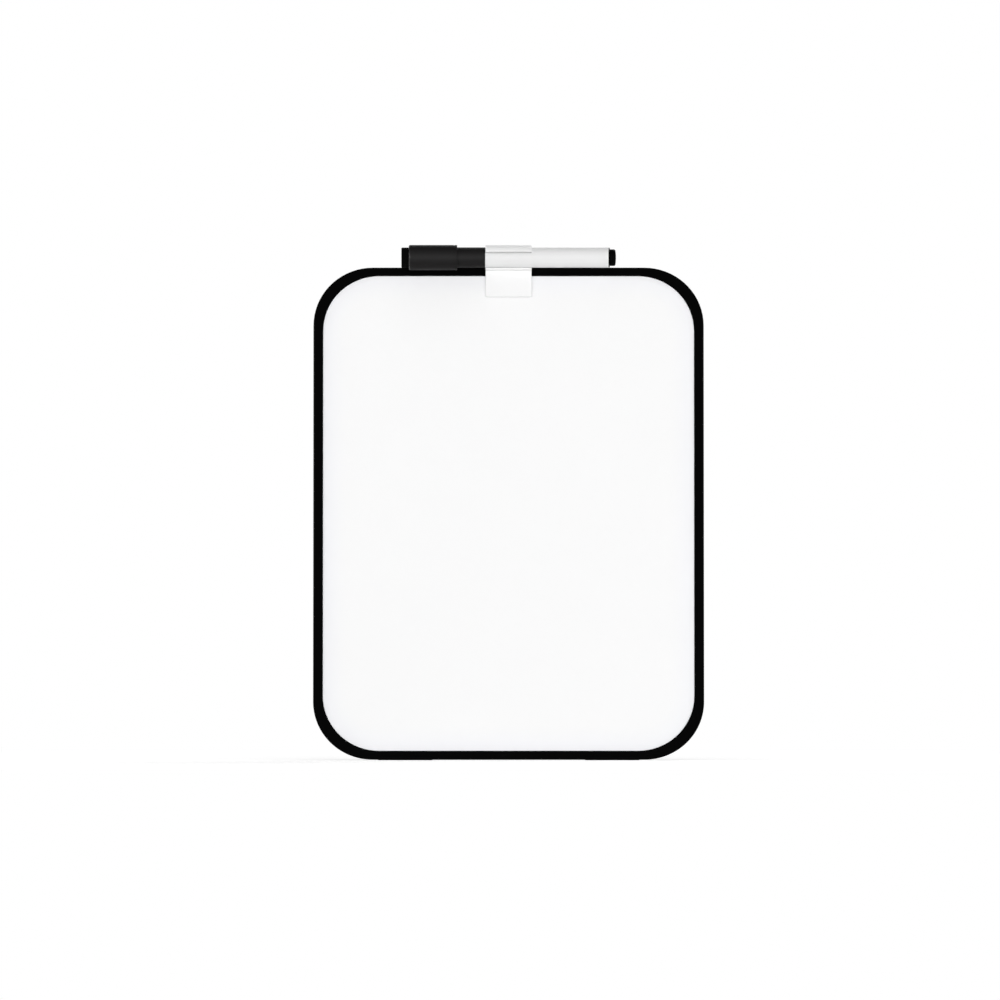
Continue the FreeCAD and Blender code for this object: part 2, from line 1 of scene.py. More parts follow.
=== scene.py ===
import bmesh
import bpy
import json
import math
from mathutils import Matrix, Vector


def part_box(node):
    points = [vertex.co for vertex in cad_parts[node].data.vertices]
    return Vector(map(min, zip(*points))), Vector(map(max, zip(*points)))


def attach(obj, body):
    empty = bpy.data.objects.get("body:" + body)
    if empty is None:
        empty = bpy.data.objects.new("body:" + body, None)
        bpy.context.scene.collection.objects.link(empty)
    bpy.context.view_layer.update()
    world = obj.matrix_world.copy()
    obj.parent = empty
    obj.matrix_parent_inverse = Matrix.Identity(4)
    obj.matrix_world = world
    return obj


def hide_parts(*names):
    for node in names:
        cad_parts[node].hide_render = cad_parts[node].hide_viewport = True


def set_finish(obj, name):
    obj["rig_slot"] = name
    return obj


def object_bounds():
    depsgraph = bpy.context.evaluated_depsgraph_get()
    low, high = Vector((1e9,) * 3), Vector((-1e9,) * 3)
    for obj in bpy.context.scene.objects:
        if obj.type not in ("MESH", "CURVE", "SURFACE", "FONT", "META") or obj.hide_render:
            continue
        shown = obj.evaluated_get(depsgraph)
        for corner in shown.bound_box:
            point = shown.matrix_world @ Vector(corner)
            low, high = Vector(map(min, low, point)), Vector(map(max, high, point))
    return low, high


# A small whiteboard on a fold-out leg, with a capped marker in a clip on its top rail.
# All places are in metres: x to the right, y away from the viewer, z up from the desk.

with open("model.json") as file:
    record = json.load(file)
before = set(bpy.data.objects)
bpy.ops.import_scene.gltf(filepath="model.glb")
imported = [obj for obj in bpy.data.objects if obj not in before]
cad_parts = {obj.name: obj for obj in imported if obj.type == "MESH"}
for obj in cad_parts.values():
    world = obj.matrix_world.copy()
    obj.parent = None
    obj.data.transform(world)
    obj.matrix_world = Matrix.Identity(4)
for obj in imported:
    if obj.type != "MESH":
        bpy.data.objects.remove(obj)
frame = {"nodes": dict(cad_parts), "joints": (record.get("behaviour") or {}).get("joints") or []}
nodes = frame["nodes"]
cad_low, cad_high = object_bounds()
bpy.ops.object.select_all(action="DESELECT")
bpy.context.scene.view_settings.view_transform = "Standard"

MM = 0.001

# Places closer together than this count as one
touching = 0.02 * MM

# Board: how far it leans, and the outlines of its frame and of the white surface in it
lean = math.radians(13.0)
upward = Vector((0, math.sin(lean), math.cos(lean)))
backward = Vector((0, math.cos(lean), -math.sin(lean)))
board_middle = (cad_low + cad_high) / 2
board_half_width = 108.0 * MM
board_half_height = 139.7 * MM
board_corner = 32.9 * MM
window_half_width = 102.6 * MM
window_half_height = 134.72 * MM
window_corner = 31.1 * MM

# Frame: the burnished rim along its outer edge, which fades in from the foot up
rim_width = 0.9 * MM
rim_polish = 0.4
rim_starts_at = 30 * MM
rim_full_at = 150 * MM

# White surface: painted shade along the edge of its window, which darkens the white towards the
# frame
painted_shade_width = 15 * MM
board_white = 0.955
board_painted_shade = (0.932, 0.934, 0.954, 1.0)

# Clip and bracket: the rounding of their sharp edges, after the faces that lie flat are joined
clip_easing = 0.22 * MM
bracket_easing = 0.12 * MM
easing_segments = 3
sharp_angle = math.radians(40.0)
flat_angle = math.radians(1.0)

# Clip: a grey line of painted shade along the front end of its upper lip, above the marker's axis
lip_shade_height = 2.8 * MM
lip_shade_core = 0.275 * MM
lip_shade_fade = 0.66 * MM
lip_shade_front = 5 * MM
lip_shade_back = 3 * MM

# Marker: its axis, and the places along it
cap_low, cap_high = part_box("marker_cap")
plug_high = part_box("end_plug")[1]
eraser_low, eraser_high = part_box("cap_eraser")
nib_low, nib_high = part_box("marker_nib")
axis_y = (cap_low.y + cap_high.y) / 2
axis_z = (cap_low.z + cap_high.z) / 2
round_sides = 96
fine_rounding = 0.25 * MM

# Cap: its shape, and its warm black between the turned rings and on them
head_radius = (cap_high.z - cap_low.z) / 2
skirt_radius = 5.7 * MM
skirt_length = 15.5 * MM
cup_radius = 5.7 * MM
cup_depth = 7.9 * MM
cap_web = 1.8 * MM
cap_bore = 4.88 * MM
head_rounding = 0.7 * MM
band_groove = 0.18 * MM
band_from_end = 1.4 * MM
band_width = 0.5 * MM
cap_dark = (0.0022, 0.0018, 0.0019, 1.0)
cap_light = (0.0032, 0.0027, 0.0028, 1.0)

# End plug: its dome's rings are given as shares of the dome's height and of the radius
plug_show = 3.5 * MM
plug_flange = 0.6 * MM
plug_flange_radius = 5.5 * MM
plug_flange_rounding = 0.1 * MM
plug_radius = 4.6 * MM
plug_spigot = 5.05 * MM
plug_spigot_radius = 4.35 * MM
plug_rounding = 0.8 * MM
plug_dome = 0.4 * MM
plug_dome_rings = ((1 / 3, 0.6), (0.0, 0.2))

# Felt eraser: the rings of its face and side, and its middle disc as a share of a face ring
felt_sides = 192
felt_steps = 9
felt_face_steps = 6
felt_centre = 0.25
felt_edge = 0.6 * MM
felt_fuzz = 0.14 * MM
felt_grain = 0.5 * MM

# Felt nib
nib_sides = 48
nib_point = 1.4 * MM
nib_point_radius = 0.9 * MM
nib_rounding = 0.72 * MM

# Bracket screws: placed from the hinge's axis, and turned by some degrees each
hinge = Vector(frame["joints"][0]["pos_m"])
screw_across = 26.5 * MM
screw_rows = (-4.5 * MM, 8.5 * MM)
screw_turns = (12.0, 57.0, 33.0, 81.0)
screw_seat = -2.5 * MM
screw_head_radius = 2.2 * MM
screw_head_height = 1.4 * MM
screw_shank_radius = 1.1 * MM
screw_length = 4.4 * MM
screw_slot_width = 0.6 * MM
screw_slot_length = 2.6 * MM
screw_slot_depth = 0.7 * MM
screw_sides = 48
faces_the_seat = -0.9

# Camera: the width that the photograph covers at the board, and the middle of its view
sensor = 36.0
camera_distance = 22.0
view_width = 0.5533
view_middle_x = -4.75 * MM
view_middle_z = 143.7 * MM

# Light: the even light on the object, and what glossy surfaces see in front and behind
ambient = 0.26
front_glow = 0.9
front_edges = (-0.45, 0.05)
backdrop_edges = (0.35, 0.9)
room_level = 0.06

# Floor: where it turns from its paint to pure white, and how much it glows for the eye
floor_size = 24.0
floor_near = 0.3
floor_far = 0.9
floor_paint = 0.9
floor_lift = 0.47


# Modelling

def choose(piece):
    """Select a piece alone and make it the active one."""
    bpy.ops.object.select_all(action="DESELECT")
    bpy.context.view_layer.objects.active = piece
    piece.select_set(True)


def apply_place(piece):
    """Put a piece's place, turn and scale into its mesh."""
    choose(piece)
    bpy.ops.object.transform_apply(location=True, rotation=True, scale=True)


def begin_editing(piece):
    """Open a piece in edit mode with nothing selected."""
    choose(piece)
    bpy.ops.object.mode_set(mode="EDIT")
    bpy.ops.mesh.select_all(action="DESELECT")


def near_ring(point, along, radius):
    """True for a point on a circle about the marker's axis."""
    distance = math.hypot(point.y - axis_y, point.z - axis_z)
    return abs(point.x - along) < touching and abs(distance - radius) < touching


def pick_rings(piece, places):
    """Select the circular edges at the given places along the axis and distances from it."""
    bpy.ops.mesh.select_mode(type="EDGE")
    mesh = bmesh.from_edit_mesh(piece.data)
    for edge in mesh.edges:
        on_ring = False
        for along, radius in places:
            if all(near_ring(vertex.co, along, radius) for vertex in edge.verts):
                on_ring = True
        edge.select_set(on_ring)
    bmesh.update_edit_mesh(piece.data)


def turned_piece(name, start, radius, steps, sides=round_sides):
    """Turned piece about the marker's axis: a disc drawn out to each (place, radius) in turn."""
    bpy.ops.mesh.primitive_circle_add(
        vertices=sides,
        radius=radius,
        fill_type="NGON",
        location=(start, axis_y, axis_z),
        rotation=(0, math.pi / 2, 0),
    )
    piece = bpy.context.object
    piece.name = name
    piece.data.name = name
    apply_place(piece)
    bpy.ops.object.mode_set(mode="EDIT")
    bpy.ops.mesh.select_mode(type="FACE")
    bpy.ops.mesh.select_all(action="SELECT")
    place = start
    for next_place, next_radius in steps:
        bpy.ops.mesh.extrude_region()
        bpy.ops.transform.translate(value=(next_place - place, 0, 0))
        share = next_radius / radius
        middle = (next_place, axis_y, axis_z)
        bpy.ops.transform.resize(value=(1, share, share), center_override=middle)
        place = next_place
        radius = next_radius
    bpy.ops.mesh.select_all(action="SELECT")
    bpy.ops.mesh.normals_make_consistent(inside=False)
    bpy.ops.object.mode_set(mode="OBJECT")
    return piece


def round_rings(piece, places, rounding, segments):
    """Round the rims at the given places."""
    begin_editing(piece)
    pick_rings(piece, places)
    bpy.ops.mesh.bevel(offset=rounding, segments=segments, affect="EDGES")
    bpy.ops.object.mode_set(mode="OBJECT")


def smooth(piece, angle=30.0):
    """Shade a piece smooth, apart from edges sharper than an angle in degrees."""
    choose(piece)
    bpy.ops.object.shade_smooth_by_angle(angle=math.radians(angle))


def apply_modifier(piece, kind, **settings):
    """Add a modifier to a piece and apply it."""
    choose(piece)
    modifier = piece.modifiers.new(kind.title(), kind)
    for name, value in settings.items():
        setattr(modifier, name, value)
    bpy.ops.object.modifier_apply(modifier=modifier.name)


def ease_edges(node, width):
    """Round the sharp edges of a node a little, as they leave the mould or the press."""
    weld = node.modifiers.new("weld", "WELD")
    weld.merge_threshold = touching / 4
    flats = node.modifiers.new("flats", "DECIMATE")
    flats.decimate_type = "DISSOLVE"
    flats.angle_limit = flat_angle
    rounding = node.modifiers.new("rounding", "BEVEL")
    rounding.width = width
    rounding.segments = easing_segments
    rounding.limit_method = "ANGLE"
    rounding.angle_limit = sharp_angle


def cap_shell():
    """Cap: rounded head with the magnet's cup, a fine band groove, and a skirt with its bore."""
    head_start = cap_low.x
    open_end = cap_high.x
    skirt_start = open_end - skirt_length
    cup_floor = head_start + cup_depth
    band_end = skirt_start - band_from_end
    band_start = band_end - band_width
    cap = turned_piece("cap_shell", cup_floor, cup_radius, [
        (head_start, cup_radius),
        (head_start, head_radius),
        (band_start, head_radius),
        (band_start, head_radius - band_groove),
        (band_end, head_radius - band_groove),
        (band_end, head_radius),
        (skirt_start, head_radius),
        (skirt_start, skirt_radius),
        (open_end, skirt_radius),
        (open_end, cap_bore),
        (cup_floor + cap_web, cap_bore),
    ])
    round_rings(cap, [(head_start, head_radius)], head_rounding, segments=6)
    fine_edges = [
        (head_start, cup_radius),
        (skirt_start, head_radius),
        (open_end, skirt_radius),
        (open_end, cap_bore),
    ]
    round_rings(cap, fine_edges, fine_rounding, segments=3)
    smooth(cap)
    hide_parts("marker_cap")
    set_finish(cap, "cap_plastic")
    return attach(cap, "cap")


def tail_plug():
    """Plug in the barrel's end: spigot, thin flange and a domed button."""
    button_end = plug_high.x
    button_rim = button_end - plug_dome
    flange_end = button_end - plug_show
    flange_start = flange_end - plug_flange
    profile = [
        (flange_start, plug_spigot_radius),
        (flange_start, plug_flange_radius),
        (flange_end, plug_flange_radius),
        (flange_end, plug_radius),
        (button_rim, plug_radius),
    ]
    for height_share, radius_share in plug_dome_rings:
        profile.append((button_end - plug_dome * height_share, plug_radius * radius_share))
    plug = turned_piece("tail_plug", flange_start - plug_spigot, plug_spigot_radius, profile)
    round_rings(plug, [(button_rim, plug_radius)], plug_rounding, segments=6)
    flange_edges = [(flange_start, plug_flange_radius), (flange_end, plug_flange_radius)]
    round_rings(plug, flange_edges, plug_flange_rounding, segments=2)
    smooth(plug, angle=35.0)
    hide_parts("end_plug")
    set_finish(plug, "plug_plastic")
    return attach(plug, "marker")


def roughen(piece, height, grain):
    """Push a felt piece's surface in by a fine cloud pattern."""
    clouds = bpy.data.textures.new(piece.name, "CLOUDS")
    clouds.noise_scale = grain
    apply_modifier(
        piece,
        "DISPLACE",
        texture=clouds,
        texture_coords="LOCAL",
        strength=height,
        mid_level=1.0,
    )
    bpy.data.textures.remove(clouds)


def felt_stub():
    """Felt eraser at the cap's end: a pressed stub with a soft edge and a fuzzy surface."""
    left = eraser_low.x
    right = eraser_high.x
    radius = (eraser_high.z - eraser_low.z) / 2
    profile = [(left, radius * step / felt_face_steps) for step in range(1, felt_face_steps + 1)]
    for step in range(1, felt_steps + 1):
        profile.append((left + (right - left) * step / felt_steps, radius))
    centre = radius / felt_face_steps * felt_centre
    felt = turned_piece("felt_stub", left, centre, profile, sides=felt_sides)
    round_rings(felt, [(left, radius)], felt_edge, segments=4)
    roughen(felt, felt_fuzz, felt_grain)
    smooth(felt, angle=60.0)
    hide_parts("cap_eraser")
    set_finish(felt, "eraser_felt")
    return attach(felt, "cap")


def bullet_nib():
    """Felt nib with a bullet tip."""
    radius = (nib_high.z - nib_low.z) / 2
    tip = nib_low.x
    shoulder = tip + nib_point
    nib = turned_piece("bullet_nib", tip, nib_point_radius, [
        (shoulder, radius),
        (nib_high.x - fine_rounding, radius),
        (nib_high.x, radius - fine_rounding),
    ], sides=nib_sides)
    round_rings(nib, [(tip, nib_point_radius), (shoulder, radius)], nib_rounding, segments=5)
    smooth(nib, angle=40.0)
    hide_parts("marker_nib")
    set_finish(nib, "nib_felt")
    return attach(nib, "marker")


def cross_cutter(floor_height):
    """Two bars that a screw's cross recess is cut with, down to a height."""
    arms = []
    bars = ((screw_slot_width, screw_slot_length), (screw_slot_length, screw_slot_width))
    for size_x, size_z in bars:
        bpy.ops.mesh.primitive_cube_add(size=1, location=(0, floor_height + screw_slot_depth, 0))
        arm = bpy.context.object
        arm.scale = (size_x, screw_slot_depth * 2, size_z)
        apply_place(arm)
        arms.append(arm)
    return arms


def pan_head_screw():
    """Pan-head screw along y with its seat at the origin."""
    bpy.ops.mesh.primitive_cylinder_add(
        vertices=screw_sides,
        radius=screw_head_radius,
        depth=screw_head_height,
        location=(0, screw_head_height / 2, 0),
        rotation=(math.pi / 2, 0, 0),
    )
    screw = bpy.context.object
    apply_place(screw)
    begin_editing(screw)
    bpy.ops.mesh.select_mode(type="FACE")
    mesh = bmesh.from_edit_mesh(screw.data)
    for face in mesh.faces:
        face.select_set(face.normal.y < faces_the_seat)
    bmesh.update_edit_mesh(screw.data)
    bpy.ops.mesh.inset(thickness=screw_head_radius - screw_shank_radius)
    bpy.ops.mesh.extrude_region()
    bpy.ops.transform.translate(value=(0, -screw_length, 0))
    bpy.ops.mesh.select_all(action="DESELECT")
    bpy.ops.mesh.select_mode(type="EDGE")
    mesh = bmesh.from_edit_mesh(screw.data)
    for edge in mesh.edges:
        edge.select_set(all(vertex.co.y > screw_head_height - touching for vertex in edge.verts))
    bmesh.update_edit_mesh(screw.data)
    bpy.ops.mesh.bevel(offset=screw_head_height / 2, segments=5, affect="EDGES")
    bpy.ops.object.mode_set(mode="OBJECT")
    for arm in cross_cutter(screw_head_height - screw_slot_depth):
        apply_modifier(screw, "BOOLEAN", object=arm, operation="DIFFERENCE", solver="EXACT")
        bpy.data.objects.remove(arm)
    return screw


def bracket_screws():
    """Four screws that hold the hinge bracket, each turned by a different amount."""
    pattern = pan_head_screw()
    screws = []
    seats = [(side, row) for side in (-1, 1) for row in screw_rows]
    for (side, row), turn in zip(seats, screw_turns):
        screw = pattern.copy()
        screw.data = pattern.data.copy()
        bpy.context.collection.objects.link(screw)
        screws.append(screw)
        screw.name = "bracket_screw_%d" % len(screws)
        screw.rotation_euler = (0, math.radians(turn), 0)
        apply_place(screw)
        sideways = Vector((side * screw_across, 0, 0))
        screw.rotation_euler = (-lean, 0, 0)
        screw.location = hinge + backward * screw_seat + upward * row + sideways
        apply_place(screw)
        smooth(screw)
        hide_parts("bracket_screws")
        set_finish(screw, "plated_steel")
        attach(screw, "board")
    bpy.data.objects.remove(pattern)
    return screws


# Materials

class Socket:
    """A value in a node tree that Python expressions can use."""

    def __init__(self, recipe, node, output):
        self.recipe = recipe
        self.node = node
        self.output = output

    def __getitem__(self, name):
        return Socket(self.recipe, self.node, socket_of(self.node.outputs, name))

    def maths(self, operation, *values):
        return self.recipe.add("ShaderNodeMath", {"operation": operation}, dict(enumerate(values)))

    def __add__(self, other):
        return self.maths("ADD", self, other)

    def __radd__(self, other):
        return self.maths("ADD", other, self)

    def __sub__(self, other):
        return self.maths("SUBTRACT", self, other)

    def __rsub__(self, other):
        return self.maths("SUBTRACT", other, self)

    def __mul__(self, other):
        return self.maths("MULTIPLY", self, other)

    def __pow__(self, other):
        return self.maths("POWER", self, other)

    def __abs__(self):
        return self.maths("ABSOLUTE", self)

    def at_least(self, other):
        return self.maths("MAXIMUM", self, other)

    def at_most(self, other):
        return self.maths("MINIMUM", self, other)


def socket_of(sockets, key):
    """Socket by its number, its identifier or its name."""
    if isinstance(key, int):
        return sockets[key]
    for socket in sockets:
        if socket.identifier == key:
            return socket
    return sockets[key]


class Recipe:
    """The node tree of a material or of the world."""

    def __init__(self, owner):
        owner.use_nodes = True
        self.owner = owner
        self.tree = owner.node_tree
        self.tree.nodes.clear()

    def add(self, kind, settings=None, values=None):
        """Add a node with its settings and the values or links of its sockets."""
        node = self.tree.nodes.new(kind)
        for name, value in (settings or {}).items():
            setattr(node, name, value)
        for key, value in (values or {}).items():
            target = socket_of(node.inputs, key)
            if isinstance(value, Socket):
                self.tree.links.new(value.output, target)
            else:
                target.default_value = value
        return Socket(self, node, node.outputs[0] if node.outputs else None)

    def place(self):
        """Where a point of the surface is."""
        return self.add("ShaderNodeTexCoord")["Object"]

    def axes(self, where=None):
        """X, Y and Z of a place."""
        return self.add("ShaderNodeSeparateXYZ", {}, {0: where or self.place()})

    def turned(self, middle=(0, 0, 0), turn=(0, 0, 0), stretch=(1, 1, 1)):
        """Place measured from a middle, along turned and stretched axes."""
        return self.add("ShaderNodeMapping", {"vector_type": "TEXTURE"}, {
            "Vector": self.place(),
            "Location": middle,
            "Rotation": turn,
            "Scale": stretch,
        })

    def noise(self, size, detail=2.0, where=None, roughness=0.5):
        """Noise with features of about the given size, from 0 to 1."""
        return self.add("ShaderNodeTexNoise", {}, {
            "Vector": where or self.place(),
            "Scale": 1 / size,
            "Detail": detail,
            "Roughness": roughness,
        })

    def cells(self, size, feature="F1"):
        """Cell pattern with cells of about the given size."""
        return self.add("ShaderNodeTexVoronoi", {"feature": feature}, {
            "Vector": self.place(),
            "Scale": 1 / size,
        })

    def range(self, value, low, high, start=0.0, end=1.0):
        """Smooth step of a value from one range to another."""
        return self.add("ShaderNodeMapRange", {"interpolation_type": "SMOOTHSTEP"}, {
            "Value": value,
            "From Min": low,
            "From Max": high,
            "To Min": start,
            "To Max": end,
        })

    def mix(self, factor, first, second):
        """Mix of two colours."""
        return self.add("ShaderNodeMix", {"data_type": "RGBA"}, {
            "Factor_Float": factor,
            "A_Color": first,
            "B_Color": second,
        })["Result_Color"]

    def bump(self, height, depth):
        """Normal of a surface with a height pattern of the given depth."""
        return self.add("ShaderNodeBump", {}, {
            "Height": height,
            "Distance": depth,
            "Strength": 1.0,
        })

    def surface(self, values):
        """Finish the material with a principled surface."""
        shader = self.add("ShaderNodeBsdfPrincipled", {}, values)
        self.add("ShaderNodeOutputMaterial", {}, {"Surface": shader})
        return self.owner


def new_material(name):
    """Recipe of a new material."""
    return Recipe(bpy.data.materials.new(name))


def grey(level, blue=1.0):
    """Opaque grey colour."""
    return (level, level, level * blue, 1.0)


def varied(middle, pattern, spread):
    """Value that a pattern from 0 to 1 moves up and down by half of a spread."""
    return middle + (pattern - 0.5) * spread


def inside_outline(recipe, half_width, half_height, corner):
    """Distance inside a rounded rectangle round the board's middle, in the board's plane."""
    low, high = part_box("front_frame")
    plane = recipe.axes(recipe.turned(middle=(low + high) / 2, turn=(-lean, 0, 0)))
    over_x = abs(plane["X"]) - (half_width - corner)
    over_z = abs(plane["Z"]) - (half_height - corner)
    corner_x = over_x.at_least(0.0)
    corner_z = over_z.at_least(0.0)
    beyond = (corner_x * corner_x + corner_z * corner_z) ** 0.5
    within = over_x.at_least(over_z).at_most(0.0)
    return corner - beyond - within


def moulded(name, colour, roughness, specular, grain=0.35 * MM, depth=0.006 * MM, drift=0.15):
    """Moulded plastic: an even colour that drifts slightly, with an eroded grain in two sizes."""
    recipe = new_material(name)
    slow = recipe.noise(24 * MM, detail=3.0)
    fine = recipe.noise(grain)
    coarse = recipe.noise(grain * 4)
    darker = [part * (1 - drift) for part in colour[:3]] + [1.0]
    worn = varied(varied(roughness, fine, 0.12), coarse, 0.12)
    return recipe.surface({
        "Base Color": recipe.mix(slow * 0.6 + coarse * 0.4, darker, colour),
        "Roughness": varied(worn, slow, 0.06),
        "Specular IOR Level": specular,
        "Normal": recipe.bump(fine * 0.4 + coarse * 0.6, depth),
    })


def frame_plastic():
    """Near-black satin plastic, burnished on its outer edge."""
    recipe = new_material("frame_plastic")
    slow = recipe.noise(30 * MM, detail=3.0)
    fine = recipe.noise(0.3 * MM)
    inside = inside_outline(recipe, board_half_width, board_half_height, board_corner)
    rim = recipe.range(inside, 0.0, rim_width, start=rim_polish, end=0.0)
    upper = recipe.range(recipe.axes()["Z"], rim_starts_at, rim_full_at)
    return recipe.surface({
        "Base Color": recipe.mix(slow, grey(0.0004), grey(0.001, blue=1.1)),
        "Roughness": varied(0.5, fine, 0.1),
        "Specular IOR Level": 0.01,
        "Coat Weight": rim * upper,
        "Coat Roughness": 0.25,
        "Normal": recipe.bump(fine, depth=0.004 * MM),
    })


def coated_steel():
    """White lacquered steel with painted shade faintly at the window's edge, and wipe marks in its
    gloss.
    """
    recipe = new_material("coated_steel")
    inside = inside_outline(recipe, window_half_width, window_half_height, window_corner)
    wiped = recipe.turned(turn=(0, 0.5, 0), stretch=(6, 1, 1))
    wipes = recipe.noise(9 * MM, detail=3.0, where=wiped)
    peel = recipe.noise(1.6 * MM, detail=1.0)
    # Painted shade: the white turns a darker, bluish grey towards the window's edge, where the
    # frame would shade it
    painted_shade = recipe.range(inside, 0.0, painted_shade_width, start=1.0, end=0.0)
    return recipe.surface({
        "Base Color": recipe.mix(painted_shade, grey(board_white), board_painted_shade),
        "Roughness": varied(0.3, wipes, 0.1),
        "Specular IOR Level": 0.1,
        "Normal": recipe.bump(peel, depth=0.001 * MM),
    })


def white_plastic():
    """Satin white plastic of the clip, with painted shade in a grey line along the lip over the
    marker.
    """
    recipe = new_material("white_plastic")
    slow = recipe.noise(18 * MM)
    haze = recipe.noise(3 * MM, detail=3.0)
    place = recipe.axes()
    # Painted shade: a grey, slightly rougher line along the front end of the upper lip, where the
    # lip's edge is in shade
    off_line = abs(place["Z"] - (axis_z + lip_shade_height))
    near_line = recipe.range(off_line, lip_shade_core, lip_shade_fade, start=1.0, end=0.0)
    front = axis_y - lip_shade_front
    back = axis_y - lip_shade_back
    painted_lip_shade = near_line * recipe.range(place["Y"], front, back, start=1.0, end=0.0)
    unshaded_white = recipe.mix(slow, grey(0.93), grey(0.945))
    return recipe.surface({
        "Base Color": recipe.mix(painted_lip_shade, unshaded_white, grey(0.5)),
        "Roughness": varied(0.45, haze, 0.06) + painted_lip_shade * 0.2,
        "Specular IOR Level": 0.12,
    })


def barrel_plastic():
    """Greyish white plastic of the marker's barrel, drawn along its length."""
    recipe = new_material("barrel_plastic")
    streaks = recipe.noise(0.8 * MM, where=recipe.turned(stretch=(30, 1, 1)))
    slow = recipe.noise(12 * MM)
    return recipe.surface({
        "Base Color": recipe.mix(slow, grey(0.80), grey(0.83)),
        "Roughness": varied(0.45, streaks, 0.1),
        "Specular IOR Level": 0.2,
        "Normal": recipe.bump(streaks, depth=0.002 * MM),
    })


def turned_plastic(name, dark, light, specular, polished_edge, polish):
    """Black satin plastic with faint turned rings, polished on one edge where fingers hold it."""
    recipe = new_material(name)
    rings = recipe.noise(0.5 * MM, where=recipe.turned(stretch=(1, 60, 60)))
    fine = recipe.noise(0.25 * MM)
    off_edge = abs(recipe.axes()["X"] - polished_edge)
    return recipe.surface({
        "Base Color": recipe.mix(rings, dark, light),
        "Roughness": varied(varied(0.6, fine, 0.1), rings, 0.08),
        "Specular IOR Level": specular,
        "Coat Weight": recipe.range(off_edge, 0.3 * MM, 1.0 * MM, start=polish, end=0.0),
        "Coat Roughness": 0.15,
        "Normal": recipe.bump(rings, depth=0.002 * MM),
    })


def rubber():
    """Black rubber with a dusty bloom."""
    recipe = new_material("rubber")
    bloom = recipe.range(recipe.noise(5 * MM, detail=4.0), 0.45, 0.75)
    fine = recipe.noise(0.4 * MM, detail=3.0)
    return recipe.surface({
        "Base Color": recipe.mix(bloom, grey(0.008), grey(0.018)),
        "Roughness": varied(0.8, fine, 0.2),
        "Specular IOR Level": 0.3,
        "Normal": recipe.bump(fine, depth=0.02 * MM),
    })


def plated_steel():
    """Bright plated steel with fine rolling marks and a soft spangle."""
    recipe = new_material("plated_steel")
    marks = recipe.noise(0.15 * MM, detail=3.0, where=recipe.turned(stretch=(40, 1, 1)))
    spangle = recipe.cells(2.5 * MM)
    return recipe.surface({
        "Base Color": recipe.mix(spangle, grey(0.56, blue=1.03), grey(0.66, blue=1.02)),
        "Metallic": 1.0,
        "Roughness": varied(varied(0.3, marks, 0.16), spangle, 0.06),
        "Normal": recipe.bump(marks, depth=0.002 * MM),
    })


def spring_steel():
    """Blued spring steel of the friction washers."""
    recipe = new_material("spring_steel")
    marks = recipe.noise(0.3 * MM, detail=3.0)
    return recipe.surface({
        "Base Color": recipe.mix(marks, grey(0.28, blue=1.1), grey(0.38, blue=1.05)),
        "Metallic": 1.0,
        "Roughness": varied(0.34, marks, 0.15),
    })


def fibreboard():
    """Brown pressed fibreboard."""
    recipe = new_material("fibreboard")
    laid = recipe.turned(turn=(0, 0.4, 0), stretch=(4, 1, 1))
    fibres = recipe.noise(1.2 * MM, detail=5.0, where=laid)
    specks = recipe.noise(0.4 * MM)
    return recipe.surface({
        "Base Color": recipe.mix(fibres, (0.19, 0.11, 0.06, 1.0), (0.36, 0.25, 0.15, 1.0)),
        "Roughness": varied(0.85, specks, 0.15),
        "Specular IOR Level": 0.25,
        "Normal": recipe.bump(fibres, depth=0.05 * MM),
    })


def fibre(name, light, dark, size):
    """Bundled fibres that run along the marker."""
    recipe = new_material(name)
    strands = recipe.noise(size, detail=4.0, where=recipe.turned(stretch=(12, 1, 1)))
    return recipe.surface({
        "Base Color": recipe.mix(strands, dark, light),
        "Roughness": varied(0.9, strands, 0.1),
        "Specular IOR Level": 0.2,
        "Normal": recipe.bump(strands, depth=0.04 * MM),
    })


def eraser_felt():
    """Charcoal felt: matted fibres with stray lighter ones."""
    recipe = new_material("eraser_felt")
    matted = recipe.noise(0.5 * MM, detail=6.0, roughness=0.7)
    between = recipe.cells(0.6 * MM, feature="DISTANCE_TO_EDGE")
    stray = recipe.range(between, 0.0, 0.05, start=0.5, end=0.0)
    base = recipe.mix(matted, grey(0.0004), grey(0.002))
    return recipe.surface({
        "Base Color": recipe.mix(stray, base, grey(0.006)),
        "Roughness": varied(0.95, matted, 0.08),
        "Specular IOR Level": 0.04,
        "Normal": recipe.bump(matted, depth=0.12 * MM),
    })


def magnet_nickel():
    """Nickel plating on the magnet."""
    recipe = new_material("magnet")
    haze = recipe.noise(3 * MM, detail=3.0)
    return recipe.surface({
        "Base Color": recipe.mix(haze, (0.60, 0.58, 0.54, 1.0), (0.68, 0.66, 0.62, 1.0)),
        "Metallic": 1.0,
        "Roughness": 0.16 + haze * 0.12,
    })


# Studio

def studio_world():
    """White for the eye, even light on the object, and for gloss a dim room with bright ends."""
    world = bpy.data.worlds.new("studio")
    bpy.context.scene.world = world
    recipe = Recipe(world)
    rays = recipe.add("ShaderNodeLightPath")
    facing_back = recipe.axes(recipe.add("ShaderNodeTexCoord")["Generated"])["Y"]
    front = recipe.range(facing_back, *front_edges, start=front_glow, end=room_level)
    backdrop = recipe.range(facing_back, *backdrop_edges).at_least(front)
    mirrored = rays["Is Glossy Ray"].at_least(rays["Is Transmission Ray"])
    seen = rays["Is Camera Ray"]
    level = seen + (1 - seen) * (mirrored * backdrop + (1 - mirrored) * ambient)
    light = recipe.add("ShaderNodeBackground", {}, {"Color": grey(1.0), "Strength": level})
    recipe.add("ShaderNodeOutputWorld", {}, {"Surface": light})


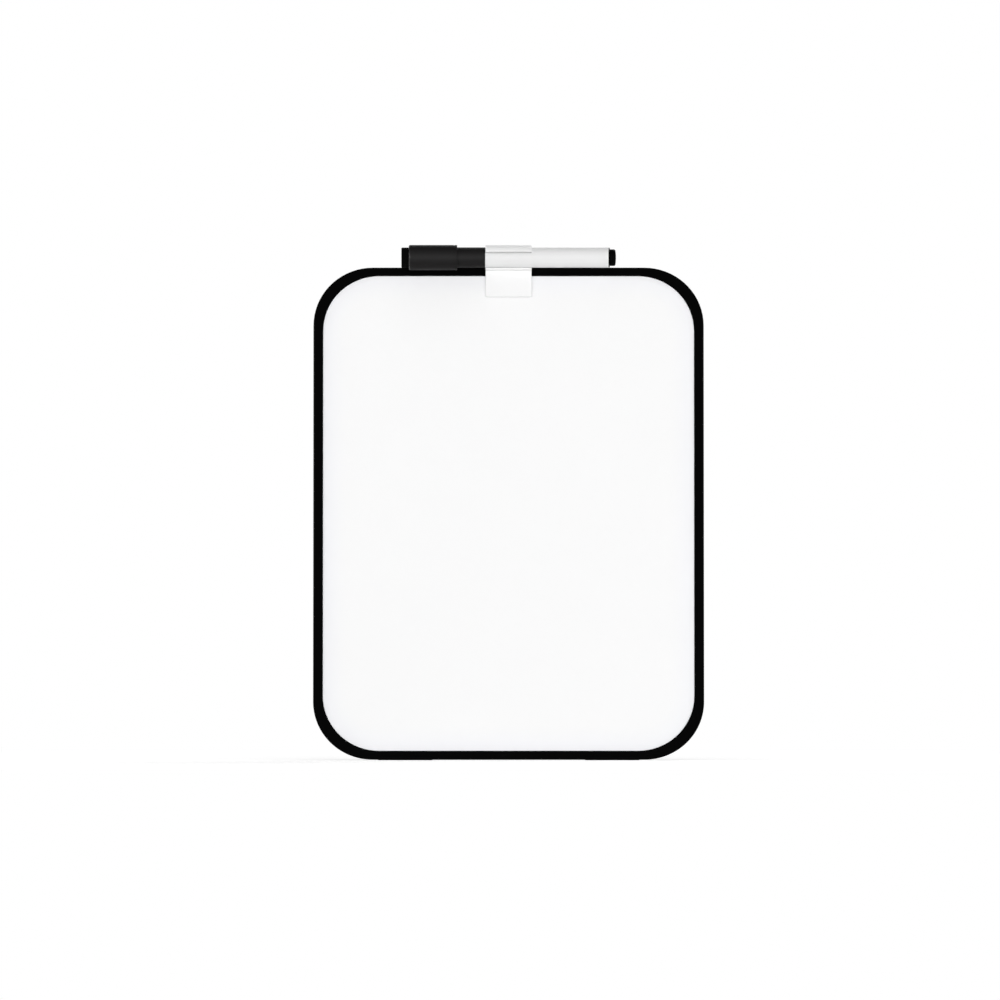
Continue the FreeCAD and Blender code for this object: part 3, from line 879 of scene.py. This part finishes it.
def softbox(name, azimuth, elevation, distance, width, height, brightness, mirrored=True):
    """Soft light that faces the board from a direction given in degrees."""
    azimuth = math.radians(azimuth)
    elevation = math.radians(elevation)
    level = math.cos(elevation)
    direction = Vector((
        math.sin(azimuth) * level,
        -math.cos(azimuth) * level,
        math.sin(elevation),
    ))
    light = bpy.data.lights.new(name, "AREA")
    light.shape = "RECTANGLE"
    light.size = width
    light.size_y = height
    light.energy = brightness * math.pi * width * height
    holder = bpy.data.objects.new(name, light)
    holder.location = board_middle + direction * distance
    holder.rotation_mode = "QUATERNION"
    holder.rotation_quaternion = direction.to_track_quat("Z", "Y")
    holder.visible_camera = False
    holder.visible_glossy = mirrored
    bpy.context.collection.objects.link(holder)


def floor():
    """Pale floor that keeps the object's shadow and turns white away from it."""
    bpy.ops.mesh.primitive_plane_add(size=floor_size, location=(0, 0, 0))
    plane = bpy.context.object
    plane.name = "floor"
    recipe = new_material("floor")
    rays = recipe.add("ShaderNodeLightPath")
    mirrored = rays["Is Glossy Ray"].at_least(rays["Is Transmission Ray"])
    seen = rays["Is Camera Ray"].at_least(mirrored)
    distance = recipe.add("ShaderNodeVectorMath", {"operation": "LENGTH"}, {0: recipe.place()})
    away = recipe.range(distance["Value"], floor_near, floor_far)
    paint = recipe.add("ShaderNodeBsdfDiffuse", {}, {"Color": grey(floor_paint)})
    glow = {"Color": grey(1.0), "Strength": seen * floor_lift}
    lift = recipe.add("ShaderNodeEmission", {}, glow)
    near = recipe.add("ShaderNodeAddShader", {}, {0: paint, 1: lift})
    white = recipe.add("ShaderNodeEmission", {}, {"Color": grey(1.0), "Strength": 1.0})
    both = recipe.add("ShaderNodeMixShader", {}, {0: seen * away, 1: near, 2: white})
    recipe.add("ShaderNodeOutputMaterial", {}, {"Surface": both})
    plane.data.materials.append(recipe.owner)


def camera():
    """Level view from far off, because the photograph shows no perspective."""
    lens = bpy.data.cameras.new("camera")
    lens.type = "PERSP"
    lens.sensor_width = sensor
    lens.lens = sensor * camera_distance / view_width
    lens.clip_start = camera_distance / 100
    lens.clip_end = camera_distance * 3
    holder = bpy.data.objects.new("camera", lens)
    holder.location = (view_middle_x, -camera_distance, view_middle_z)
    holder.rotation_euler = (math.pi / 2, 0, 0)
    bpy.context.collection.objects.link(holder)
    bpy.context.scene.camera = holder


# Assembly

finishes = {
    "frame_plastic": frame_plastic(),
    "coated_steel": coated_steel(),
    "fibreboard": fibreboard(),
    "cover_plastic": moulded(
        "cover_plastic",
        grey(0.0075),
        roughness=0.5,
        specular=0.3,
        grain=0.5 * MM,
        depth=0.9 * MM,
        drift=0.4,
    ),
    "leg_plastic": moulded(
        "leg_plastic",
        grey(0.0055),
        roughness=0.42,
        specular=0.35,
        depth=0.35 * MM,
        drift=0.3,
    ),
    "rubber": rubber(),
    "plated_steel": plated_steel(),
    "spring_steel": spring_steel(),
    "white_plastic": white_plastic(),
    "barrel_plastic": barrel_plastic(),
    "section_plastic": moulded("section_plastic", grey(0.02), roughness=0.35, specular=0.45),
    "cap_plastic": turned_plastic(
        "cap_plastic",
        cap_dark,
        cap_light,
        specular=0.18,
        polished_edge=cap_low.x,
        polish=0.9,
    ),
    "plug_plastic": turned_plastic(
        "plug_plastic",
        grey(0.0006),
        grey(0.0012),
        specular=0.02,
        polished_edge=plug_high.x,
        polish=0.1,
    ),
    "liner_plastic": moulded("liner_plastic", grey(0.78), roughness=0.5, specular=0.4),
    "nib_felt": fibre("nib_felt", light=grey(0.02), dark=grey(0.004), size=0.25 * MM),
    "reservoir_fibre": fibre("reservoir_fibre", light=grey(0.78), dark=grey(0.55), size=0.3 * MM),
    "magnet": magnet_nickel(),
    "eraser_felt": eraser_felt(),
}

for node in nodes.values():
    for slot in node.material_slots:
        slot.material = finishes[slot.material.name]

ease_edges(nodes["marker_clip"], clip_easing)
ease_edges(nodes["hinge_bracket"], bracket_easing)

for piece in (cap_shell(), tail_plug(), felt_stub(), bullet_nib(), *bracket_screws()):
    piece.data.materials.clear()
    piece.data.materials.append(finishes[piece["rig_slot"]])

studio_world()
softbox(
    "front_box",
    azimuth=0,
    elevation=7,
    distance=3.0,
    width=2.0,
    height=0.8,
    brightness=10.75,
)
softbox(
    "left_box",
    azimuth=-85,
    elevation=15,
    distance=2.5,
    width=0.8,
    height=1.2,
    brightness=3.0,
)
softbox(
    "right_box",
    azimuth=75,
    elevation=30,
    distance=3.0,
    width=1.2,
    height=1.2,
    brightness=1.0,
)
softbox(
    "top_box",
    azimuth=0,
    elevation=84,
    distance=2.5,
    width=1.6,
    height=0.8,
    brightness=1.0,
    mirrored=False,
)
softbox(
    "back_box",
    azimuth=155,
    elevation=35,
    distance=3.0,
    width=1.6,
    height=1.2,
    brightness=4.4,
)
floor()
camera()
